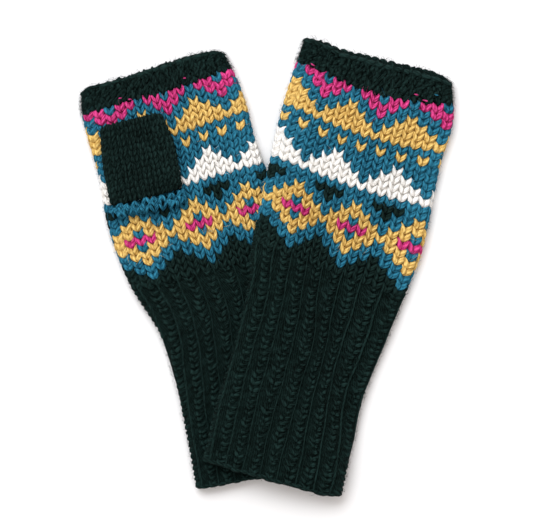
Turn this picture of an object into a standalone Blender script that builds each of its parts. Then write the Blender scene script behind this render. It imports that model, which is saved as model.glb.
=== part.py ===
"""A pair of hand-knitted wrist warmers (fingerless mitts) laid flat on a table.

The left mitt lies palm up with its thumb folded up the palm. The right mitt lies
back up, on its own hidden thumb, with its ribbed cuff across the left one's cuff.
Each mitt is knitted as one tube: a ribbed cuff, a patterned hand and a short top
band, with the thumb picked up from the palm.

Sizes below are in millimetres and the meshes are in metres. +Z is up, the table is
z = 0, +Y runs from the hems to the tops, and the origin is under the pair's middle.
"""

from collections import namedtuple

import bpy
import numpy as np

MM = 0.001

# Cloth
WALL = 3.0            # one knitted layer of thick wool, with the floats behind it
HOLLOW = 1.2          # the air left between the two layers of a mitt laid flat
THICK = 2 * WALL + HOLLOW
LEAST_HALF = 0.3      # of a cross-section's half thickness, however deep in the wall
FOLD_REACH = 4.6      # how far a side fold's round edge reaches in across the mitt
SEAM_GAP = 0.3        # between pieces that meet
LIE_GAP = 0.5         # between a mitt and what it lies over

# Knitting
STITCHES = 36         # round the mitt
STITCHES_ON_TOP = 17.3  # of them, from side fold to side fold over the upper layer
STITCHES_A_RIB = 2    # one knit and one purl
RIB_DEPTH = 0.9       # how far a rib's ridge stands above the furrow beside it

# Ends
HEM_CORNER = 1.2      # how far the hem falls back at the side folds
RIM_CORNER = 3.0      # and the rim at the top
THUMB_CORNER = 2.0    # and the thumb's two ends
CORNER_POWER = 8      # the higher, the tighter the corner
END_ZONE = 14.0       # the stretch beside an end that its shape bends
FAR_RIM = 2.6         # how far the right mitt's lower layer shows past its front rim
# How far an end is pulled up at each share of the way across it
END_SHARES = (0.0, 0.25, 0.5, 0.75, 1.0)
LEFT_RIM = (1.0, -0.3, 0.2, 1.0, 0.2)
RIGHT_RIM = (1.2, -1.7, -0.7, 0.6, 1.7)
RIGHT_HEM = (0.0, 0.0, 0.0, 0.3, 1.5)
STRAIGHT_END = (0.0, 0.0, 0.0, 0.0, 0.0)

# Thumb: a small tube of thinner walls, bent down to the palm at its foot
THUMB_WALL = 2.3
THUMB_HOLLOW = 0.8
THUMB_THICK = 2 * THUMB_WALL + THUMB_HOLLOW
THUMB_FOOT_THICK = 3.6
THUMB_FOOT_RISE = 7.0   # the stretch in which the thumb gets its full thickness
THUMB_FOLD_REACH = 3.4
THUMB_STITCHES = 16

# How the right mitt comes down to the table beside what it lies over
RAMP = 18.0             # how far out from an edge it reaches the table
RAMP_INSET = 4.0        # how far in from a round edge it is fully raised
HEM_OUTSET = 5.0        # how far past a hem's blunt end it stays fully raised
THUMB_RAMP = 24.0
THUMB_INSET = 1.0

Row = namedtuple("Row", "place left_x left_y right_x right_y")
WRIST_ROW, BAND_ROW = 4, 8   # where the cuff ends and the band starts
ThumbRow = namedtuple("ThumbRow", "place along left right")

# Rows of knitting across each mitt, from the hem up, by the ends of the row
LEFT_ROWS = [
    Row("hem", -39.6, -124.3, 35.6, -109.5),
    Row("low cuff", -45.2, -93.3, 30.9, -77.2),
    Row("mid cuff", -51.1, -65.8, 25.7, -47.7),
    Row("high cuff", -59.6, -38.3, 19.8, -18.3),
    Row("wrist", -76.2, -10.8, 13.1, 11.4),
    Row("low hand", -89.6, 25.5, 1.8, 48.3),
    Row("mid hand", -94.4, 52.1, -7.1, 73.2),
    Row("high hand", -99.4, 69.0, -11.6, 90.7),
    Row("band", -103.1, 83.5, -16.9, 105.3),
    Row("top", -104.1, 98.9, -25.6, 122.4),
]
RIGHT_ROWS = [
    Row("hem", -36.0, -107.6, 40.6, -129.9),
    Row("low cuff", -28.7, -76.0, 47.7, -98.9),
    Row("mid cuff", -19.1, -45.3, 54.9, -69.4),
    Row("high cuff", -11.7, -14.7, 66.9, -39.9),
    Row("wrist", -8.3, 16.0, 78.8, -10.8),
    Row("low hand", -4.3, 36.2, 86.3, 8.7),
    Row("mid hand", -0.2, 54.0, 90.4, 26.5),
    Row("high hand", 6.9, 84.9, 96.5, 57.1),
    Row("band", 14.5, 110.2, 103.9, 83.5),
    Row("top", 20.4, 127.6, 102.8, 102.4),
]
# Rows across the left thumb in its own frame. The right one is its mirror image.
THUMB_ROWS = [
    ThumbRow("foot", 0.0, -21.1, 21.1),
    ThumbRow("middle", 26.7, -19.4, 22.2),
    ThumbRow("tip", 45.7, -16.1, 19.4),
]
Foot = namedtuple("Foot", "x y turn_deg mirror")
LEFT_THUMB = Foot(-66.7, 38.1, 14.0, 1)
RIGHT_THUMB = Foot(30.1, 41.5, -17.0, -1)

# Mesh fineness
CUFF_RING = 54          # three points a rib
PLAIN_RING = 36         # a point a stitch
CUFF_STEPS, HAND_STEPS, BAND_STEPS, THUMB_STEPS = 13, 12, 3, 7

# Yarn colours (linear) and roughness
GREEN_WOOL = (0.010, 0.040, 0.036)
BLUE_WOOL = (0.012, 0.130, 0.240)
WOOL_ROUGHNESS = 0.95


def smooth_through(knots, values, at):
    """Cubic Hermite curve through the values at the knots, read at `at`."""
    knots, values = np.asarray(knots, float), np.asarray(values, float)
    slopes = np.gradient(values, knots, axis=0)
    i = np.clip(np.searchsorted(knots, at) - 1, 0, len(knots) - 2)
    step = (knots[i + 1] - knots[i])[..., None]
    t = (at - knots[i])[..., None] / step
    rest = 1 - t
    return (values[i] * rest**2 * (1 + 2 * t) + values[i + 1] * t**2 * (1 + 2 * rest)
            + step * t * rest * (slopes[i] * rest - slopes[i + 1] * t))


def smoothstep(low, high, x):
    """0 below low and 1 above high, with a soft S between."""
    t = np.clip((x - low) / (high - low), 0, 1)
    return t * t * (3 - 2 * t)


class Tube:
    """A flattened knitted tube between rows given by their two ends."""

    def __init__(self, rows, stitches=STITCHES, stitches_on_top=STITCHES_ON_TOP, thick=THICK,
                 fold_reach=FOLD_REACH):
        self.ends = np.array(rows, float)
        middles = (self.ends[:, :2] + self.ends[:, 2:]) / 2
        steps = np.linalg.norm(np.diff(middles, axis=0), axis=1)
        self.along = np.concatenate([[0.0], np.cumsum(steps)])
        self.stitches, self.on_top = stitches, stitches_on_top
        self.thick, self.fold_reach = thick, fold_reach
        self.far_rim = 0.0
        self.hem_corner, self.rim_corner = HEM_CORNER, RIM_CORNER
        self.hem_pull = self.rim_pull = STRAIGHT_END

    @property
    def length(self):
        return self.along[-1]

    def row_ends(self, along):
        return smooth_through(self.along, self.ends, along)

    def thick_at(self, along):
        return np.broadcast_to(self.thick, np.shape(along))

    def lift(self, x, y):
        """How high the tube's underside lies."""
        return np.zeros_like(x)

    def skin(self, along, stitch, depth):
        """Points of the cloth at a depth under its outer face.

        A cross-section is two straight layers joined by half ellipses at the side
        folds. Stitch 0 is at the left fold, and stitches run over the upper layer to
        the right fold and back underneath.
        """
        along, stitch, depth = np.broadcast_arrays(along, stitch, depth)
        ends = self.row_ends(along)
        width = np.hypot(ends[..., 2] - ends[..., 0], ends[..., 3] - ends[..., 1])
        half = self.thick_at(along) / 2
        inner_half = np.maximum(half - depth, LEAST_HALF)
        depth_used = half - inner_half
        reach = self.fold_reach - depth_used
        straight = width - 2 * self.fold_reach
        fold = np.pi / 2 * np.sqrt((reach**2 + inner_half**2) / 2)

        stitch = np.mod(stitch, self.stitches)
        under = stitch >= self.on_top
        share = np.where(under, (self.stitches - stitch) / (self.stitches - self.on_top),
                         stitch / self.on_top)
        way = share * (straight + 2 * fold)
        left_turn = np.clip(way / fold, 0, 1) * np.pi / 2
        right_turn = np.clip((way - fold - straight) / fold, 0, 1) * np.pi / 2
        flat = np.clip(way - fold, 0, straight)
        out = (depth_used + reach * (1 - np.cos(left_turn)) + flat
               + reach * np.sin(right_turn))
        rise = inner_half * np.sin(left_turn) * np.cos(right_turn)
        height = half + np.where(under, -rise, rise)
        across = out / width

        shifted = along + self.end_shape(along, across, height)
        ends = self.row_ends(shifted)
        x = ends[..., 0] + (ends[..., 2] - ends[..., 0]) * across
        y = ends[..., 1] + (ends[..., 3] - ends[..., 1]) * across
        return np.stack([x, y, height + self.lift(x, y)], axis=-1)

    def end_shape(self, along, across, height):
        """How far a point near an end shifts along: corners, pulled ends, the far rim."""
        edge = np.abs(2 * across - 1) ** CORNER_POWER
        near_hem = np.clip(1 - along / END_ZONE, 0, 1) ** 2
        near_top = np.clip(1 - (self.length - along) / END_ZONE, 0, 1) ** 2
        far = self.far_rim * (1 - height / self.thick_at(along))
        hem = self.hem_corner * edge + np.interp(across, END_SHARES, self.hem_pull)
        rim = self.rim_corner * edge - np.interp(across, END_SHARES, self.rim_pull)
        return hem * near_hem + (far - rim) * near_top


class Thumb(Tube):
    """The thumb's tube, thin at its foot."""

    def __init__(self, foot):
        turn = np.radians(foot.turn_deg)
        row_way = np.array([np.cos(turn), np.sin(turn)])
        along_way = np.array([-np.sin(turn), np.cos(turn)])
        origin = np.array([foot.x, foot.y])
        rows = []
        for row in THUMB_ROWS:
            sides = sorted([row.left * foot.mirror, row.right * foot.mirror])
            points = [origin + row_way * side + along_way * row.along for side in sides]
            rows.append(np.concatenate(points))
        super().__init__(rows, THUMB_STITCHES, THUMB_STITCHES / 2, THUMB_THICK,
                         THUMB_FOLD_REACH)
        self.hem_corner = self.rim_corner = THUMB_CORNER
        self.base = 0.0
        self.origin, self.row_way, self.along_way = origin, row_way, along_way

    def thick_at(self, along):
        grown = smoothstep(0, THUMB_FOOT_RISE, along)
        return THUMB_FOOT_THICK + (THUMB_THICK - THUMB_FOOT_THICK) * grown

    def lift(self, x, y):
        return np.full_like(x, self.base)

    def outside(self, x, y):
        """How far a point lies outside the thumb's rectangle, and 0 within it."""
        reach = self.ends[:, :2] - self.origin, self.ends[:, 2:] - self.origin
        left = min(reach[0] @ self.row_way)
        right = max(reach[1] @ self.row_way)
        across = (x - self.origin[0]) * self.row_way[0] + (y - self.origin[1]) * self.row_way[1]
        along = (x - self.origin[0]) * self.along_way[0] + (y - self.origin[1]) * self.along_way[1]
        beside = np.maximum(np.maximum(left - across, across - right), 0)
        past = np.maximum(np.maximum(-along, along - self.length), 0)
        return np.hypot(beside, past)


class RightMitt(Tube):
    """The mitt that lies over its own thumb and over the left mitt."""

    def __init__(self, rows, beneath, thumb):
        super().__init__(rows)
        self.beneath, self.thumb = beneath, thumb
        self.far_rim = FAR_RIM
        self.hem_pull, self.rim_pull = RIGHT_HEM, RIGHT_RIM

    def lift(self, x, y):
        """Smooth height over the left mitt's right edge and hem, and over the thumb."""
        edge = self.beneath.ends[:, 2:]
        edge_x = smooth_through(edge[:, 1], edge[:, :1], np.clip(y, edge[0, 1], edge[-1, 1]))
        inside_edge = edge_x[..., 0] - x
        hem_left, hem_right = self.beneath.ends[0, :2], self.beneath.ends[0, 2:]
        hem_way = (hem_right - hem_left) / np.linalg.norm(hem_right - hem_left)
        inside_hem = (y - hem_left[1]) * hem_way[0] - (x - hem_left[0]) * hem_way[1]
        inside = np.minimum(inside_edge, inside_hem + HEM_OUTSET + RAMP_INSET)
        over_left = (THICK + LIE_GAP) * smoothstep(-RAMP, RAMP_INSET, inside)
        out = self.thumb.outside(x, y)
        over_thumb = (THUMB_THICK + LIE_GAP) * smoothstep(-THUMB_RAMP, -THUMB_INSET, -out)
        return (over_left**4 + over_thumb**4) ** 0.25


def bridge(first_a, knots_a, first_b, knots_b):
    """Triangles between two closed rings whose points run round at these shares."""
    faces, a, b = [], 0, 0
    count_a, count_b = len(knots_a), len(knots_b)
    next_a = np.append(knots_a, knots_a[0] + 1)
    next_b = np.append(knots_b, knots_b[0] + 1)
    while a < count_a or b < count_b:
        step_a = b >= count_b or (a < count_a and next_a[a + 1] <= next_b[b + 1])
        near_a, near_b = first_a + a % count_a, first_b + b % count_b
        if step_a:
            a += 1
            faces.append((near_a, first_a + a % count_a, near_b))
        else:
            b += 1
            faces.append((near_a, first_b + b % count_b, near_b))
    return faces


def rings(tube, start, stop, steps, around, depth_of):
    """Points of a tube's face on rings from start to stop, ring after ring."""
    along = np.linspace(start, stop, steps + 1)[:, None]
    stitch = around[None, :] * tube.stitches
    points = tube.skin(along, stitch, depth_of(along, stitch))
    return points.reshape(-1, 3)


def wall_faces(first, count, steps, outward):
    """Quads between neighbouring rings."""
    faces = []
    for ring in range(steps):
        for point in range(count):
            low, high = first + ring * count, first + (ring + 1) * count
            after = (point + 1) % count
            quad = (low + point, low + after, high + after, high + point)
            faces.append(quad if outward else quad[::-1])
    return faces


def knit_piece(name, tube, start, stop, steps, wall, ring_count, ribbed, material):
    """One stretch of a tube as a closed wall: outer rings, inner rings, two rims.

    A ribbed piece has a ridge at every second stitch, counted from the left fold.
    """
    def outer_depth(along, stitch):
        if not ribbed:
            return np.zeros(np.broadcast_shapes(along.shape, stitch.shape))
        ridge = 0.5 + 0.5 * np.cos(2 * np.pi * stitch / STITCHES_A_RIB)
        lies_below = np.mod(stitch, tube.stitches) > tube.on_top
        return np.where(lies_below, 0.0, RIB_DEPTH * (1 - ridge)) + 0 * along

    def inner_depth(along, stitch):
        fits = (tube.thick_at(along) - HOLLOW / 2) / 2
        return np.minimum(wall, fits) + 0 * stitch

    outer_around = np.arange(ring_count) / ring_count
    inner_around = np.arange(PLAIN_RING) / PLAIN_RING
    outer = rings(tube, start, stop, steps, outer_around, outer_depth)
    inner = rings(tube, start, stop, steps, inner_around, inner_depth)
    first_inner = len(outer)
    faces = wall_faces(0, ring_count, steps, True)
    faces += wall_faces(first_inner, PLAIN_RING, steps, False)
    low_rim = bridge(0, outer_around, first_inner, inner_around)
    faces += [face[::-1] for face in low_rim]
    faces += bridge(ring_count * steps, outer_around,
                    first_inner + PLAIN_RING * steps, inner_around)

    mesh = bpy.data.meshes.new(name)
    mesh.from_pydata((np.concatenate([outer, inner]) * MM).tolist(), [], faces)
    mesh.shade_smooth()
    mesh.set_sharp_from_angle(angle=np.radians(50))
    mesh.materials.append(material)
    piece = bpy.data.objects.new(name, mesh)
    collection.objects.link(piece)
    return piece


def wool(name, colour):
    """Matt wool yarn."""
    material = bpy.data.materials.new(name)
    material.use_nodes = True
    shader = material.node_tree.nodes["Principled BSDF"]
    shader.inputs["Base Color"].default_value = (*colour, 1)
    shader.inputs["Roughness"].default_value = WOOL_ROUGHNESS
    shader.inputs["Metallic"].default_value = 0.0
    material.diffuse_color = (*colour, 1)
    return material


def knit_mitt(side, tube):
    """Cuff, hand and top band, each with its own wool."""
    wrist, band = tube.along[WRIST_ROW], tube.along[BAND_ROW]
    half_gap = SEAM_GAP / 2
    knit_piece(f"{side}_cuff", tube, 0, wrist - half_gap, CUFF_STEPS, WALL, CUFF_RING,
               True, wool(f"{side} cuff wool", GREEN_WOOL))
    knit_piece(f"{side}_hand", tube, wrist + half_gap, band - half_gap, HAND_STEPS, WALL,
               PLAIN_RING, False, wool(f"{side} hand wool", BLUE_WOOL))
    knit_piece(f"{side}_top_band", tube, band + half_gap, tube.length, BAND_STEPS, WALL,
               PLAIN_RING, False, wool(f"{side} top band wool", GREEN_WOOL))


def knit_thumb(side, thumb):
    knit_piece(f"{side}_thumb", thumb, 0, thumb.length, THUMB_STEPS, THUMB_WALL,
               PLAIN_RING, False, wool(f"{side} thumb wool", GREEN_WOOL))


for leftover in list(bpy.data.objects):
    bpy.data.objects.remove(leftover, do_unlink=True)
collection = bpy.data.collections.new("wrist_warmers")
bpy.context.scene.collection.children.link(collection)

left_mitt = Tube([row[1:] for row in LEFT_ROWS])
left_mitt.rim_pull = LEFT_RIM
left_thumb = Thumb(LEFT_THUMB)
left_thumb.base = THICK + SEAM_GAP
right_thumb = Thumb(RIGHT_THUMB)
right_mitt = RightMitt([row[1:] for row in RIGHT_ROWS], left_mitt, right_thumb)

knit_mitt("left", left_mitt)
knit_thumb("left", left_thumb)
knit_mitt("right", right_mitt)
knit_thumb("right", right_thumb)
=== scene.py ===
"""A pair of hand-knitted wrist warmers laid flat: every stitch is a pair of yarn legs.

Sizes are in millimetres on the table's surface, +Y from the hems to the tops, and the
meshes are in metres.
"""
from collections import namedtuple

import bpy
import numpy as np
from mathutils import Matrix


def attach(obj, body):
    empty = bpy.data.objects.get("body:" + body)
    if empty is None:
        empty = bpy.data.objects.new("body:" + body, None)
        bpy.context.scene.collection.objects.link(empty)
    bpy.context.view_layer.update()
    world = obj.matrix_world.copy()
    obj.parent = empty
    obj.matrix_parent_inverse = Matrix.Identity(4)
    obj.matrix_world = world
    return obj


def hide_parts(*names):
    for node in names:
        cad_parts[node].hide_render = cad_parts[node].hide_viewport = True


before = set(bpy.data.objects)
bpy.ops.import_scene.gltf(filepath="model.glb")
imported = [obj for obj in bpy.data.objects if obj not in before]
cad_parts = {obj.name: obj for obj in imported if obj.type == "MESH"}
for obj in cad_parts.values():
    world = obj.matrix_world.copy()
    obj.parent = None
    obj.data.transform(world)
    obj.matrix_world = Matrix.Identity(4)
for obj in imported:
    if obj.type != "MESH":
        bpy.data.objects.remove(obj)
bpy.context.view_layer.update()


# ---- Table, light and camera --------------------------------------------------------
# A white table seen from straight above, as in the photo. One large soft lamp stands
# over the top left, so that the pair's soft shadow falls down and a little to the right.
MM = 0.001
PHOTO_WIDE = 533                           # pixels
MM_PER_PIXEL = 0.556                       # on the plane of the mitts' folds
VIEW_MIDDLE = (-0.5, 0.6, 4.0)
CAMERA_HEIGHT = 1500.0
SENSOR = 36.0
VIEW_END = 20                              # metres from the camera
TABLE_HALF = 3.0                           # metres
TABLE_WHITE = (0.9, 0.9, 0.9, 1)
SKY_COLOUR = (1.0, 0.94, 0.91, 1)
SKY_STRENGTH = 0.76

camera_data = bpy.data.cameras.new("camera")
camera_data.type = "PERSP"
camera_data.sensor_width = SENSOR
camera_data.lens = SENSOR * CAMERA_HEIGHT / (PHOTO_WIDE * MM_PER_PIXEL)
camera_data.clip_end = VIEW_END
camera = bpy.data.objects.new("camera", camera_data)
camera.location = (VIEW_MIDDLE[0] * MM, VIEW_MIDDLE[1] * MM, (VIEW_MIDDLE[2] + CAMERA_HEIGHT) * MM)
bpy.context.scene.collection.objects.link(camera)
bpy.context.scene.camera = camera

table_mesh = bpy.data.meshes.new("table")
table_mesh.from_pydata([(-TABLE_HALF, -TABLE_HALF, 0), (TABLE_HALF, -TABLE_HALF, 0),
                        (TABLE_HALF, TABLE_HALF, 0), (-TABLE_HALF, TABLE_HALF, 0)],
                       [], [(0, 1, 2, 3)])
table = bpy.data.objects.new("table", table_mesh)
bpy.context.scene.collection.objects.link(table)
table_white = bpy.data.materials.new("table white")
table_white.use_nodes = True
table_shader = table_white.node_tree.nodes["Principled BSDF"]
table_shader.inputs["Base Color"].default_value = TABLE_WHITE
table_shader.inputs["Roughness"].default_value = 1.0
table_shader.inputs["Specular IOR Level"].default_value = 0.0
table_mesh.materials.append(table_white)


def lamp(name, place, size, power, colour):
    """A soft lamp, (wide, high) in metres, that faces the origin."""
    data = bpy.data.lights.new(name, "AREA")
    data.shape, data.energy, data.color = "RECTANGLE", power, colour
    data.size, data.size_y = size
    light = bpy.data.objects.new(name, data)
    light.location = place
    toward = -light.location
    light.rotation_euler = toward.to_track_quat("-Z", "Y").to_euler()
    bpy.context.scene.collection.objects.link(light)


lamp("key", place=(-0.55, 1.15, 1.5), size=(1.9, 1.2), power=36.0, colour=(0.96, 1.0, 1.04))
world = bpy.data.worlds.new("studio")
world.use_nodes = True
world.node_tree.nodes["Background"].inputs["Color"].default_value = SKY_COLOUR
world.node_tree.nodes["Background"].inputs["Strength"].default_value = SKY_STRENGTH
bpy.context.scene.world = world
bpy.context.scene.view_settings.view_transform = "Standard"


# ---- Left mitt: stranded hand -------------------------------------------------------
# The hand is a tube of wool knitted with two colours a row, from the wrist up to the
# top band. Its cloth is a thin shell, and each stitch over it is a V of two plump legs.
STITCHES = 36                              # round the mitt
STITCHES_ON_TOP = 17.3                     # of them, from fold to fold over the upper layer
WALL = 3.0
HOLLOW = 1.2                               # between the two layers
THICK = 2 * WALL + HOLLOW
LEAST_HALF = 0.3                           # of a cross-section, however deep in the wall
FOLD_REACH = 4.6                           # how far a fold's round edge reaches in
SEAM_GAP = 0.3                             # between pieces that meet
HEM_CORNER, RIM_CORNER = 1.2, 3.0          # how far an end falls back at the folds
CORNER_POWER = 8                           # the higher, the tighter the corner
END_ZONE = 14.0                            # the stretch beside an end that its shape bends
# How far an end is pulled up at each share of the way across it
END_SHARES = (0.0, 0.25, 0.5, 0.75, 1.0)
STRAIGHT_END = (0.0, 0.0, 0.0, 0.0, 0.0)
LEFT_RIM = (1.0, -0.3, 0.2, 1.0, 0.2)

Row = namedtuple("Row", "place left_x left_y right_x right_y")
WRIST_ROW, BAND_ROW = 4, 8                 # where the cuff ends and the band starts
LEFT_ROWS = [
    Row("hem", -39.6, -124.3, 35.6, -109.5),
    Row("low cuff", -45.2, -93.3, 30.9, -77.2),
    Row("mid cuff", -51.1, -65.8, 25.7, -47.7),
    Row("high cuff", -59.6, -38.3, 19.8, -18.3),
    Row("wrist", -76.2, -10.8, 13.1, 11.4),
    Row("low hand", -89.6, 25.5, 1.8, 48.3),
    Row("mid hand", -94.4, 52.1, -7.1, 73.2),
    Row("high hand", -99.4, 69.0, -11.6, 90.7),
    Row("band", -103.1, 83.5, -16.9, 105.3),
    Row("top", -104.1, 98.9, -25.6, 122.4),
]

# How far the knitting is pulled from an even spread: at each level (0 hem, 1 wrist,
# 2 band, 3 top) the (stitches to the right, mm upward) at five shares of the width.
# The numbers come from a program's fit to the photo, rounded.
PULL_SHARES = (0.06, 0.28, 0.50, 0.72, 0.94)
Pull = namedtuple("Pull", "level far_left left middle right far_right")
LEFT_PULL = [
    Pull(1.0, (-0.35, 0.6), (-0.15, 0.8), (0.05, 1.5), (-0.45, 1.3), (-0.75, 1.9)),
    Pull(1.25, (-0.3, 0.2), (-0.1, 0.2), (0.1, 1.6), (-0.4, 2.1), (-0.75, 2.9)),
    Pull(1.5, (-0.25, 2.0), (-0.1, 0.5), (0.0, 1.8), (-0.35, 3.0), (-0.5, 3.8)),
    Pull(1.75, (-0.3, 1.3), (0.2, 1.2), (0.05, 1.9), (-0.05, 3.5), (-0.05, 5.0)),
    Pull(2.0, (-0.3, 0.7), (0.35, 1.7), (0.1, 1.6), (-0.15, 2.6), (0.1, 4.8)),
    Pull(3.0, (-0.3, 0.0), (0.35, 0.0), (0.1, 0.0), (-0.15, 0.0), (0.1, 0.0)),
]


def smooth_through(knots, values, at):
    """Cubic Hermite curve through the values at the knots, with central slopes."""
    knots, values = np.asarray(knots, float), np.asarray(values, float)
    slopes = np.gradient(values, knots, axis=0)
    i = np.clip(np.searchsorted(knots, at) - 1, 0, len(knots) - 2)
    step = (knots[i + 1] - knots[i])[..., None]
    t = (at - knots[i])[..., None] / step
    rest = 1 - t
    return (values[i] * rest**2 * (1 + 2 * t) + values[i + 1] * t**2 * (1 + 2 * rest)
            + step * t * rest * (slopes[i] * rest - slopes[i + 1] * t))


def smoothstep(low, high, x):
    """0 below low and 1 above high, with a soft S between: 3t^2 - 2t^3."""
    t = np.clip((x - low) / (high - low), 0, 1)
    return t * t * (3 - 2 * t)


class Tube:
    """A flattened knitted tube between rows given by the two ends of each."""

    def __init__(self, rows, stitches=STITCHES, on_top=STITCHES_ON_TOP, thick=THICK,
                 fold_reach=FOLD_REACH, hem_corner=HEM_CORNER, rim_corner=RIM_CORNER,
                 pull=None, hem_pull=STRAIGHT_END, rim_pull=STRAIGHT_END, far_rim=0.0):
        self.ends = np.array([row[1:] for row in rows], float)
        middles = (self.ends[:, :2] + self.ends[:, 2:]) / 2
        steps = np.linalg.norm(np.diff(middles, axis=0), axis=1)
        self.along = np.concatenate([[0.0], np.cumsum(steps)])
        self.length = self.along[-1]
        self.stitches, self.on_top = stitches, on_top
        self.thick, self.fold_reach = thick, fold_reach
        self.hem_corner, self.rim_corner = hem_corner, rim_corner
        self.pull, self.hem_pull, self.rim_pull, self.far_rim = pull, hem_pull, rim_pull, far_rim

    def pulled(self, along, stitch):
        """The along and stitch that an evenly spread stitch is pulled to.

        The table is read smoothly along the levels and straight between the shares.
        """
        if self.pull is None:
            return along, stitch
        levels = np.array([row.level for row in self.pull])
        table = np.array([row[1:] for row in self.pull])
        marks = self.along[[0, WRIST_ROW, BAND_ROW, -1]]
        level = np.clip(np.interp(along, marks, (0, 1, 2, 3)), levels[0], levels[-1])
        turn = np.mod(stitch, self.stitches)
        share = np.where(turn < self.on_top, turn / self.on_top,
                         (self.stitches - turn) / (self.stitches - self.on_top))
        share = np.clip(share, PULL_SHARES[0], PULL_SHARES[-1])
        by_share = smooth_through(levels, table.reshape(len(levels), -1), level)
        by_share = by_share.reshape(*np.shape(level), len(PULL_SHARES), 2)
        shares = np.array(PULL_SHARES)
        i = np.clip(np.searchsorted(shares, share) - 1, 0, len(shares) - 2)
        t = (share - shares[i]) / (shares[i + 1] - shares[i])
        low = np.take_along_axis(by_share, i[..., None, None], axis=-2)[..., 0, :]
        high = np.take_along_axis(by_share, i[..., None, None] + 1, axis=-2)[..., 0, :]
        shift = low + (high - low) * t[..., None]
        return along + shift[..., 1], stitch + shift[..., 0]

    def thick_at(self, along):
        """The tube's thickness at a distance along it: the same all along a mitt."""
        return np.broadcast_to(self.thick, np.shape(along))

    def lift(self, x, y):
        """The height of what the tube lies on at a place: the table."""
        return np.zeros_like(x)

    def end_shape(self, along, across, height):
        """Round corners, a power of the distance from the middle, and the far rim."""
        edge = np.abs(2 * across - 1) ** CORNER_POWER
        near_hem = np.clip(1 - along / END_ZONE, 0, 1) ** 2
        near_top = np.clip(1 - (self.length - along) / END_ZONE, 0, 1) ** 2
        far = self.far_rim * (1 - height / self.thick_at(along))
        hem = self.hem_corner * edge + np.interp(across, END_SHARES, self.hem_pull)
        rim = self.rim_corner * edge - np.interp(across, END_SHARES, self.rim_pull)
        return hem * near_hem + (far - rim) * near_top

    def point(self, along, stitch, depth):
        """The point of the cloth at a distance along, a stitch round and a depth.

        A cross-section is two straight layers joined by half ellipses at the folds.
        Stitch 0 is at the left fold; stitches run over the top and back underneath.
        """
        along, stitch, depth = np.broadcast_arrays(along, stitch, depth)
        along, stitch = self.pulled(along, stitch)
        ends = smooth_through(self.along, self.ends, along)
        width = np.hypot(ends[..., 2] - ends[..., 0], ends[..., 3] - ends[..., 1])
        half = self.thick_at(along) / 2
        inner_half = np.maximum(half - depth, LEAST_HALF)
        reach = self.fold_reach - (half - inner_half)
        straight = width - 2 * self.fold_reach
        fold = np.pi / 2 * np.sqrt((reach**2 + inner_half**2) / 2)

        stitch = np.mod(stitch, self.stitches)
        under = stitch >= self.on_top
        share = np.where(under, (self.stitches - stitch) / (self.stitches - self.on_top),
                         stitch / self.on_top)
        way = share * (straight + 2 * fold)
        left_turn = np.clip(way / fold, 0, 1) * np.pi / 2
        right_turn = np.clip((way - fold - straight) / fold, 0, 1) * np.pi / 2
        out = (half - inner_half + reach * (1 - np.cos(left_turn))
               + np.clip(way - fold, 0, straight) + reach * np.sin(right_turn))
        rise = inner_half * np.sin(left_turn) * np.cos(right_turn)
        height = half + np.where(under, -rise, rise)
        across = out / width

        ends = smooth_through(self.along, self.ends,
                              along + self.end_shape(along, across, height))
        x = ends[..., 0] + (ends[..., 2] - ends[..., 0]) * across
        y = ends[..., 1] + (ends[..., 3] - ends[..., 1]) * across
        return np.stack([x, y, height + self.lift(x, y)], axis=-1)


Yarn = namedtuple("Yarn", "name deep bright")
# Each yarn runs from deep, its colour in painted shade, to bright, its colour in painted highlight;
# tone, ply and fibre pick the place between
YARNS = {
    "B": Yarn("blue wool", (0.0030, 0.036, 0.068), (0.036, 0.24, 0.37)),
    "P": Yarn("pink wool", (0.24, 0.004, 0.055), (0.86, 0.080, 0.32)),
    "Y": Yarn("gold wool", (0.38, 0.19, 0.030), (0.98, 0.69, 0.23)),
    "W": Yarn("white wool", (0.78, 0.75, 0.69), (0.98, 0.97, 0.95)),
    "D": Yarn("green wool", (0.0008, 0.0030, 0.0024), (0.0115, 0.0305, 0.0275)),
}
YARN_LETTERS = "".join(YARNS)
GREEN = YARN_LETTERS.index("D")
BLUE = YARN_LETTERS.index("B")
PLIES = 3
PLY_STEP = 4.0                             # along the yarn, from one ply to the next
PLY_PAINTED_SHADING_WEIGHT, FIBRE_TONE_AND_HIGHLIGHT_WEIGHT = 0.46, 0.50      # in the colour: painted light and shade of the ply twist, and the fibres' own tone with painted highlight
FIBRE_RELIEF = 0.8                         # of a ply's
RELIEF, RELIEF_STRENGTH = 0.30, 0.7
FIBRE_LEAN = 0.07                          # radians on the yarn's own UV
FIBRE_STRETCH = (0.35, 7, 1)
FIBRE_SCALE, FIBRE_DETAIL, FIBRE_ROUGHNESS = 1.3, 3, 0.6
FIBRE_RANGE = (0.36, 0.66)                 # of the noise, from the darkest to the brightest


def spread_out(tree, value, low, high):
    """A node's value, spread so that low gives 0 and high gives 1."""
    node = tree.nodes.new("ShaderNodeMapRange")
    node.inputs["From Min"].default_value = low
    node.inputs["From Max"].default_value = high
    tree.links.new(value, node.inputs["Value"])
    return node.outputs["Result"]


def times_plus(tree, value, factor, rest, clamped=False):
    """value * factor + rest, where value and rest come from nodes."""
    node = tree.nodes.new("ShaderNodeMath")
    node.operation = "MULTIPLY_ADD"
    node.use_clamp = clamped
    node.inputs[1].default_value = factor
    tree.links.new(value, node.inputs[0])
    tree.links.new(rest, node.inputs[2])
    return node.outputs["Value"]


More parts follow.
